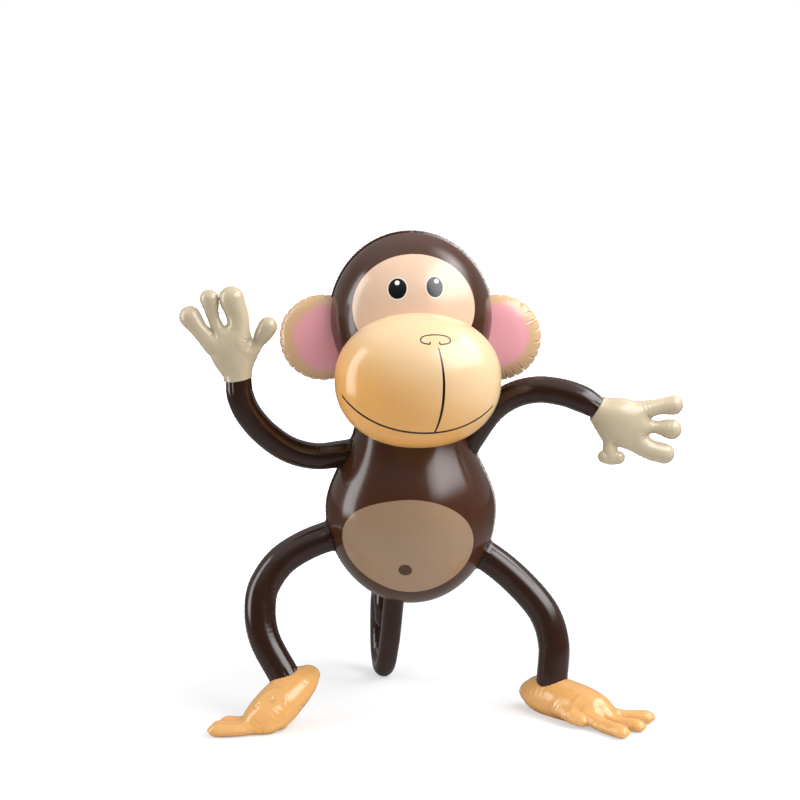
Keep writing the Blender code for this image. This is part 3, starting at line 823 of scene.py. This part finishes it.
# hands and feet: lobes that are blown up as one. A point of a lobe is its place, half its width there
# and, where it isn't the usual share, how thick it is for its width
lobePlan = {
    "blend": 2.2, "pucker": (5.0, 0.6, 8.0), "lip": (0.5, 0.8), "swell": 0.2, "lump": 24, "seed": 100,
    "fold": (3.8, 2.7), "foldRadius": 6, "hem": (0.4, 1.3, 1.0), "margin": 10.0, "netMargin": 2.5,
    "hand": {"facing": 1, "cell": 1.0, "lens": (1.8, 1.6), "share": 0.84},
    "foot": {"facing": 2, "cell": 1.15, "lens": (1.75, 1.5), "share": 0.78},
    # folds: a fold's middle on the flat of the hand or foot, then its reach, ridge and dip
    "hand_left": {
        "folds": [(331, 424, 13, 0.4, 0.5), (327, 400, 14, 0.6, 0.5), (285, 388, 15, 0.4, 0.5)],
        "cuff": ((257, -50, 438), (0.85, -0.02, -0.52)),
        "lobes": [
            [(256, -50, 437, 16.2, 1), (272, -51, 427, 24.5, 0.8), (288, -52, 418, 33, 0.62),
             (298, -52, 414, 32, 0.62), (303, -52, 412, 27.5, 0.62)],
            [(308, -52, 430, 16), (338, -50, 438, 11), (362, -47, 440.5, 13.4)],
            [(312, -52, 412, 12), (337, -51, 410.5, 8.6), (360, -50, 407, 13.9)],
            [(304, -52, 396, 16), (328, -53, 380, 14), (350, -54, 373.5, 14)],
            [(274, -52, 408, 14), (273.5, -55, 394, 8), (273.5, -56.5, 386, 8),
             (275.5, -58, 371.5, 12.4, 0.66)],
            [(267.2, -58, 370, 8.9), (276, -58.5, 366.8, 8), (286, -58.5, 368.6, 8.9)]]},
    "hand_right": {
        "folds": [(-275, 542, 13, 0.4, 0.5), (-257, 557, 15, 0.5, 0.5), (-219, 533, 18, 0.7, 0.7)],
        "cuff": ((-239, -45, 476.5), (-0.16, -0.05, 0.98)),
        "lobes": [
            [(-239, -45, 474, 18.2, 1), (-240, -46, 489, 20.5, 0.85), (-244, -47, 504, 26, 0.66),
             (-247.5, -47, 516, 28.5, 0.62), (-245, -47.4, 526, 26.5, 0.62)],
            [(-271, -46.7, 525, 15), (-290, -45, 544, 11.8), (-304, -42, 563, 14.8)],
            [(-257, -47.2, 528, 13), (-271, -46, 560, 8), (-277, -44, 588, 13)],
            [(-239, -46.6, 530, 16), (-238, -47.6, 562, 15), (-246.5, -48, 589, 17)],
            [(-230, -46, 508, 16), (-212, -49, 526, 8), (-203, -51, 540, 11.6), (-196.5, -53, 551, 12.8)]]},
    "foot_left": {
        "folds": [(236, -119, 15, 1.1, 1.2), (266, -117, 13, 0.6, 0.6), (274, -99, 12, 0.5, 0.5)],
        "lobes": [
            [(171, -20, 22, 17, 1), (190, -37, 23, 29, 0.97), (219, -62, 21, 34, 0.85),
             (246, -88, 18.5, 32, 0.8), (265, -104, 15.5, 19, 0.8)],
            [(257, -94, 16, 16), (292, -98, 10.5, 11), (324, -100.7, 9.4, 11.8), (331.5, -101.4, 8.6, 8)],
            [(250, -102, 15, 13), (284, -120, 9.5, 10), (309.5, -137.3, 9, 11.3), (315.7, -141.5, 8.3, 7.6)],
            [(242, -110, 15, 14), (264, -139, 9.5, 11.8), (285, -164.6, 9.4, 12.2), (290, -170.5, 8.6, 7.8)],
            [(211, -84, 18, 17), (223, -107, 14, 13), (235, -120, 11.5, 12), (238.5, -123, 10.5, 9.5)]]},
    "foot_right": {
        "folds": [(-191, -145, 19, 1.6, 1.2), (-218, -142, 12, 0.6, 0.6), (-224, -130, 12, 0.5, 0.5)],
        "lobes": [
            [(-144, -71, 62, 16.5, 0.8), (-161, -88, 51, 29, 0.8), (-183, -112, 33, 33, 0.8),
             (-202, -131, 18.5, 29, 0.8), (-216, -140, 13.5, 18, 0.8)],
            [(-205, -125, 14, 14), (-231, -125, 9.5, 10.5), (-251, -124, 9, 11.4), (-257.5, -123.8, 8.4, 8)],
            [(-207, -135, 12.5, 14), (-237, -141, 8.2, 10.5), (-261, -142.8, 8.6, 11.4),
             (-267.5, -143.3, 8.2, 8)],
            [(-201, -143, 12.5, 14), (-235, -156, 8.4, 11), (-264, -159.8, 9, 12),
             (-270.5, -160.6, 8.5, 8.5)],
            [(-173, -120, 23, 16), (-183, -136, 15, 13), (-197, -147, 10.8, 12), (-201, -149.5, 10, 9.5)]]},
}


class Lobe:
    # one finger, toe, palm or sole: sections that are flatter than they are wide, with a keen edge
    def __init__(self, points, share, facing, lens):
        curve = smoothCurve([(*point, share)[:5] for point in points], 5)
        self.middle, self.wide, self.share = curve[:, :3], curve[:, 3], curve[:, 4]
        self.facing, self.lens = facing, lens
        self.run = runAlong(self.middle)
        self.way = unit(np.gradient(self.middle, axis=0))
        self.side = unit(np.cross(self.way, np.eye(3)[facing]))
        self.around = 2 * (self.run[-1] + self.wide[-1] * math.pi / 2)
        self.low = (self.middle - self.wide[:, None]).min(0) - lobePlan["margin"]
        self.high = (self.middle + self.wide[:, None]).max(0) + lobePlan["margin"]

    def reach(self, points):
        # about how far outside this lobe each point is, and where along the middle line
        best, spot = np.full(len(points), 60.0), np.zeros(len(points))
        near = np.all((points > self.low) & (points < self.high), 1)
        close, least, at = points[near], best[near], spot[near]
        for index in range(len(self.middle) - 1):
            line = self.middle[index + 1] - self.middle[index]
            gap = close - self.middle[index]
            share = np.clip(gap @ line / (line @ line), 0, 1)
            gap -= share[:, None] * line
            wide = between(*self.wide[index:index + 2], share)
            thick = wide * between(*self.share[index:index + 2], share)
            rise = np.abs(gap[:, self.facing])
            flat = (gap * gap).sum(1) - rise * rise
            away = (np.sqrt(flat / (wide * wide) + (rise / thick) ** self.lens) - 1) * wide
            closer = away < least
            least[closer] = away[closer]
            at[closer] = index + share[closer]
        best[near], spot[near] = least, at
        return best, spot

    def outline(self, points, spot):
        # how far round this lobe's outline each point lies, out along one side and back along the
        # other, and how far it is from the weld line
        whole = np.arange(len(self.run))
        middle = np.stack([np.interp(spot, whole, self.middle[:, i]) for i in range(3)], 1)
        index = spot.round().astype(int)
        gap = points - middle
        ahead = (gap * self.way[index]).sum(1)
        aside = (gap * self.side[index]).sum(1)
        tip = (spot > len(self.run) - 1.001) & (ahead > 0)
        turn = math.pi / 2 - np.arctan2(np.abs(aside), np.maximum(ahead, 1e-6))
        at = np.where(tip, self.run[-1] + turn * self.wide[-1], np.interp(spot, whole, self.run))
        return np.where(aside > 0, at, self.around - at), gap[:, self.facing]


def lobeField(lobes, points):
    # each finger or toe is blown up into the palm or sole, but not into its neighbour
    blend = lobePlan["blend"]
    palm = lobes[0].reach(points)[0]
    least = np.full(len(points), 60.0)
    for lobe in lobes[1:]:
        away = lobe.reach(points)[0]
        joined = np.minimum(palm, away) - blend * np.log1p(np.exp(-np.abs(palm - away) / blend))
        least = np.minimum(least, joined)
    return least


def gridPart(counts, axes, shift):
    # all of a grid but its last layer along some axes, or but its first one where the shift is 1
    pick = [slice(None)] * 3
    for axis, start in zip(axes, shift):
        pick[axis] = slice(start, counts[axis] - 1 + start)
    return tuple(pick)


def netSurface(field, low, high, cell, block=4):
    # a mesh of the field's zero level: one point in each grid cell that it crosses
    blocks = np.ceil((high - low) / (cell * block)).astype(int)
    counts = blocks * block + 1
    lines = [low[i] + cell * np.arange(counts[i]) for i in range(3)]
    grid = np.stack(np.meshgrid(*lines, indexing="ij"), -1)
    middles = [low[i] + cell * block * (np.arange(blocks[i]) + 0.5) for i in range(3)]
    rough = field(np.stack(np.meshgrid(*middles, indexing="ij"), -1).reshape(-1, 3)).reshape(blocks)
    for axis in range(3):
        rough = np.repeat(rough, block, axis)
    busy = np.abs(rough) < cell * block * 1.6
    near, values = np.zeros(counts, bool), np.zeros(counts)
    for corner in np.ndindex(2, 2, 2):
        view = gridPart(counts, (0, 1, 2), corner)
        near[view] |= busy
        values[view] = np.sign(rough) * 9
    values[near] = field(grid[near])
    total = np.zeros((*(counts - 1), 3))
    hits = np.zeros(counts - 1)
    crossings = []
    for axis in range(3):
        b, c = (axis + 1) % 3, (axis + 2) % 3
        first, second = (gridPart(counts, [axis], [step]) for step in (0, 1))
        v0, v1 = values[first], values[second]
        crossed = (v0 < 0) != (v1 < 0)
        share = np.where(crossed, v0 / np.where(crossed, v0 - v1, 1), 0)
        at = grid[first].copy()
        at[..., axis] += share * cell
        at *= crossed[..., None]
        for shift in np.ndindex(2, 2):
            pick = gridPart(counts, (b, c), shift)
            total += at[pick]
            hits += crossed[pick]
        crossings.append((axis, b, c, crossed, v0 < 0))
    used = hits > 0
    number = np.full(hits.shape, -1)
    number[used] = np.arange(used.sum())
    points = total[used] / hits[used][:, None]
    faces = []
    for axis, b, c, crossed, rising in crossings:
        where = np.argwhere(crossed)
        edge = where[:, [b, c]]
        where = where[((edge > 0) & (edge < counts[[b, c]] - 1)).all(1)]
        corners = []
        for shift in ((-1, -1), (0, -1), (0, 0), (-1, 0)):
            cellAt = where.copy()
            cellAt[:, [b, c]] += shift
            corners.append(number[tuple(cellAt.T)])
        quads = np.stack(corners, 1)
        outward = rising[tuple(where.T)]
        quads[~outward] = quads[~outward][:, ::-1]
        faces.append(quads)
    return points, np.vstack(faces)


def settleOn(field, points, step=0.05):
    # moves points onto the field's zero level
    value = field(points)
    slope = np.stack([(field(points + shift) - value) / step for shift in np.eye(3) * step], 1)
    return points - slope * (value / np.maximum((slope * slope).sum(1), 0.2))[:, None]


def awayFromLimb(points, name):
    route = smoothCurve(limbPlan[name], 8)
    best = np.full(len(points), 1e9)
    for start, line in zip(route, np.diff(route, axis=0)):
        gap = points - start
        gap -= np.clip(gap @ line / (line @ line), 0, 1)[:, None] * line
        best = np.minimum(best, np.linalg.norm(gap, axis=1))
    return best - limbPlan["radii"][name.split("_")[0]][0]


def makeLobed(name, seed):
    kind = name[:4]
    plan = lobePlan | lobePlan[kind] | lobePlan[name]
    lobes = [Lobe(lobe, plan["share"], plan["facing"], plan["lens"][min(index, 1)])
             for index, lobe in enumerate(plan["lobes"])]
    cuff = [np.array(half) for half in plan.get("cuff", ())]

    def field(points):
        value = lobeField(lobes, points)
        return np.maximum(value, (cuff[0] - points) @ cuff[1]) if cuff else value

    spare = plan["margin"] - plan["netMargin"]
    low = np.min([lobe.low for lobe in lobes], 0) + spare
    high = np.max([lobe.high for lobe in lobes], 0) - spare
    points, faces = netSurface(field, low, high, plan["cell"])
    points = settleOn(field, points)
    piece = newPiece(name + "_bladder", points, faces.tolist(), finishes[kind], kind + "_vinyl", name)
    values, offs, sinks = [], [], []
    for index, lobe in enumerate(lobes):
        value, spot = lobe.reach(points)
        along, off = lobe.outline(points, spot)
        creases = Puckers(seed + index, lobe.around, *plan["pucker"], closed=False)
        values.append(value)
        offs.append(off)
        sinks.append(creases.sink(along, off))
    values = np.array(values)
    weights = np.exp(-(values - values.min(0)) / plan["blend"])
    weights /= weights.sum(0)
    rise = weldLip((weights * offs).sum(0), *plan["lip"]) - (weights * sinks).sum(0)
    # between fingers and toes the film folds: a ridge round each crotch, and creases that radiate from it
    flat = [i for i in range(3) if i != plan["facing"]]
    for index, (first, second, reach, rim, dip) in enumerate(plan["folds"]):
        gap = points[:, flat] - (first, second)
        away = np.linalg.norm(gap, axis=1)
        inward = unit(lobes[0].middle[len(lobes[0].middle) // 2][flat] - (first, second))
        inside = np.clip(0.35 + gap @ inward / np.maximum(away, 0.5), 0, 1)
        turn = np.arctan2(gap[:, 1], gap[:, 0]) % (2 * math.pi)
        size = plan["foldRadius"]
        creases = Puckers(seed + 40 + index, 2 * math.pi * size, *plan["fold"], reach * 0.9,
                          width=(0.13, 0.2))
        rise -= creases.sink(turn * size, away, inside) * np.clip(away / 3, 0.2, 1)
        rise += (ridge(away, rim, reach, 4) - ridge(away, dip, 0, reach * 0.55)) * inside
    # the hem round the arm or leg
    away = (points - cuff[0]) @ cuff[1] if cuff else awayFromLimb(points, name.replace("foot", "leg"))
    rise += ridge(away, *plan["hem"])
    pressOut(piece, rise + plan["swell"] * swellings(points, plan["lump"], seed))
    print(name, "made,", len(faces) * 2, "triangles")
    return lobes


lobesOf = {}
for index, name in enumerate(("hand_left", "hand_right", "foot_left", "foot_right")):
    lobesOf[name] = makeLobed(name, lobePlan["seed"] * (index + 1))


# arms, legs and tail: two strips of film welded along both edges
def makeLimb(name, seed):
    plan = limbPlan
    kind = name.split("_")[0]
    thick, tipThick = plan["radii"][kind]
    rough = smoothCurve(plan[name], 30)
    run = runAlong(rough)
    last = int(run[-1] / plan["rowStep"])
    at = np.linspace(0, run[-1], last + 1)
    middle = np.stack([np.interp(at, run, side) for side in rough.T], 1)
    way = unit(np.gradient(middle, axis=0))
    radius = between(thick, tipThick, at / run[-1])
    slim = 1 - plan["wrist"].get(name, 1.0)
    toWrist = run[-1] - plan["wristEnd"] - at
    radius = radius * (1 - slim * np.clip(1 - toWrist / plan["wristReach"], 0, 1) ** 1.5)
    if kind == "tail":  # its end is round
        for lean in np.linspace(0, 1, 16)[1:-1] * math.pi / 2:
            middle = np.vstack([middle, middle[last] + way[last] * tipThick * math.sin(lean)])
            way = np.vstack([way, way[last]])
            radius = np.append(radius, tipThick * math.cos(lean))
            at = np.append(at, run[-1] + tipThick * lean)
    facing = np.eye(3)[0 if kind == "tail" else 1]
    deep = unit(facing - way * (way @ facing)[:, None])
    across = np.cross(deep, way)
    start = int(np.argmax(outsideBody(middle) > -thick * 1.3))
    middle, way, deep, across, at, radius = (rows[start:] for rows in (middle, way, deep, across, at, radius))
    quarter = weldOffsets(plan["weldStep"], thick * math.pi / 2 - 1.0, plan["faceStep"])
    turns = weldTurns(quarter / thick)
    cosine, sine = np.cos(turns), np.sin(turns)
    points = (middle[:, None] + (across[:, None] * cosine[:, None] + deep[:, None] * sine[:, None])
              * radius[:, None, None])
    # how much the limb bends toward each point of its skin
    bend = np.gradient(way, axis=0) / plan["rowStep"]
    inward = np.einsum("rk,rsk->rs", bend, points - middle[:, None]) / radius[:, None] * thick
    dice = np.random.RandomState(seed)
    rise = np.zeros(points.shape[:2])
    place = at[0] + 6
    while place < run[-1]:
        width = dice.uniform(1.3, 2.3)
        here = np.exp(-((at[:, None] - place + dice.uniform(-4, 4) * sine) / width) ** 2)
        depth = plan["bendDepth"] * dice.uniform(0.5, 1.2)
        rise -= depth * here * np.clip(inward * 2.6, 0, 1) ** 1.5
        place += plan["bendPitch"] * dice.uniform(0.5, 1.4)
    points = points.reshape(-1, 3)
    rise = rise.ravel()
    along = np.repeat(at, len(turns))
    off = np.tile(sine, len(at)) * np.repeat(radius, len(turns))
    for edge in (0, 1):
        creases = Puckers(seed + 5 + edge, at[-1] + 5, *plan["weld"], closed=False)
        use = (np.tile(cosine, len(at)) > 0) == bool(edge)
        rise[use] -= creases.sink(along[use], off[use])
    rise += weldLip(off, *plan["lip"])
    girth = 2 * math.pi * thick
    around = np.tile(turns, len(at)) * thick
    root = outsideBody(points)
    rise -= Puckers(seed + 9, girth, *plan["root"]).sink(around, np.maximum(root, 0.01))
    rise += ridge(root, *plan["collar"])
    end = name.replace("arm", "hand").replace("leg", "foot")
    if end in lobesOf:
        pitch, depth, reach = plan["root"]
        tip = np.maximum(lobeField(lobesOf[end], points), 0.01)
        rise -= Puckers(seed + 13, girth, pitch, depth * 0.8, reach).sink(around, tip)
    rise += plan["swell"] * swellings(points, plan["lump"], seed)
    points, faces = closeSkin(points, [len(turns)] * len(at))
    if kind == "tail":
        points[-1] = middle[-1] + way[-1] * tipThick * 0.02
    piece = newPiece(name + "_bladder", points, faces, finishes["limb"], "limb_vinyl", name)
    pressOut(piece, np.append(rise, [0, 0]))
    print(name, "made,", len(faces) * 2, "triangles")


for index, name in enumerate(limbNames):
    makeLimb(name, limbPlan["seed"] + index * limbPlan["seedStep"])


# air valve on the back
valvePlan = {
    "height": 330.0, "sides": 72, "mottle": 0.006, "inks": ((0.62, 0.63, 0.62), (0.80, 0.80, 0.78)),
    "profile": [(12.0, -2.0), (12.0, 0.6), (11.6, 1.25), (10.9, 1.55), (7.6, 1.75), (7.1, 2.2), (6.6, 3.0),
                (6.0, 3.2), (5.4, 3.0), (5.2, 2.5), (4.9, 2.5), (4.75, 3.2), (4.75, 6.5), (4.4, 7.2),
                (3.7, 7.5), (1.6, 7.5), (1.1, 7.2)],
}


def paintValve(bench, place):
    return bench.colour(bench.noise(place, valvePlan["mottle"]), *valvePlan["inks"])


def makeValve():
    z = valvePlan["height"]
    deep = float(bodyHalf(z)[1])
    slope = float(bodyHalf(z + 1)[1] - bodyHalf(z - 1)[1]) / 2
    outward = np.array([0, 1, -slope]) / math.hypot(1, slope)
    seat = np.array([0, deep, z])
    across = np.array([1.0, 0, 0])
    upright = np.cross(outward, across)
    turns = 2 * math.pi * np.arange(valvePlan["sides"]) / valvePlan["sides"]
    circle = np.cos(turns)[:, None] * across + np.sin(turns)[:, None] * upright
    rings = [seat + outward * rise + radius * circle for radius, rise in valvePlan["profile"]]
    points, faces = closeSkin(np.vstack(rings), [valvePlan["sides"]] * len(rings))
    clear = vinyl("valve_film", paintValve, 0.1)
    newPiece("valve_plugged", points, faces, clear, "valve_vinyl", "air_valve")


makeValve()
print("valve made")
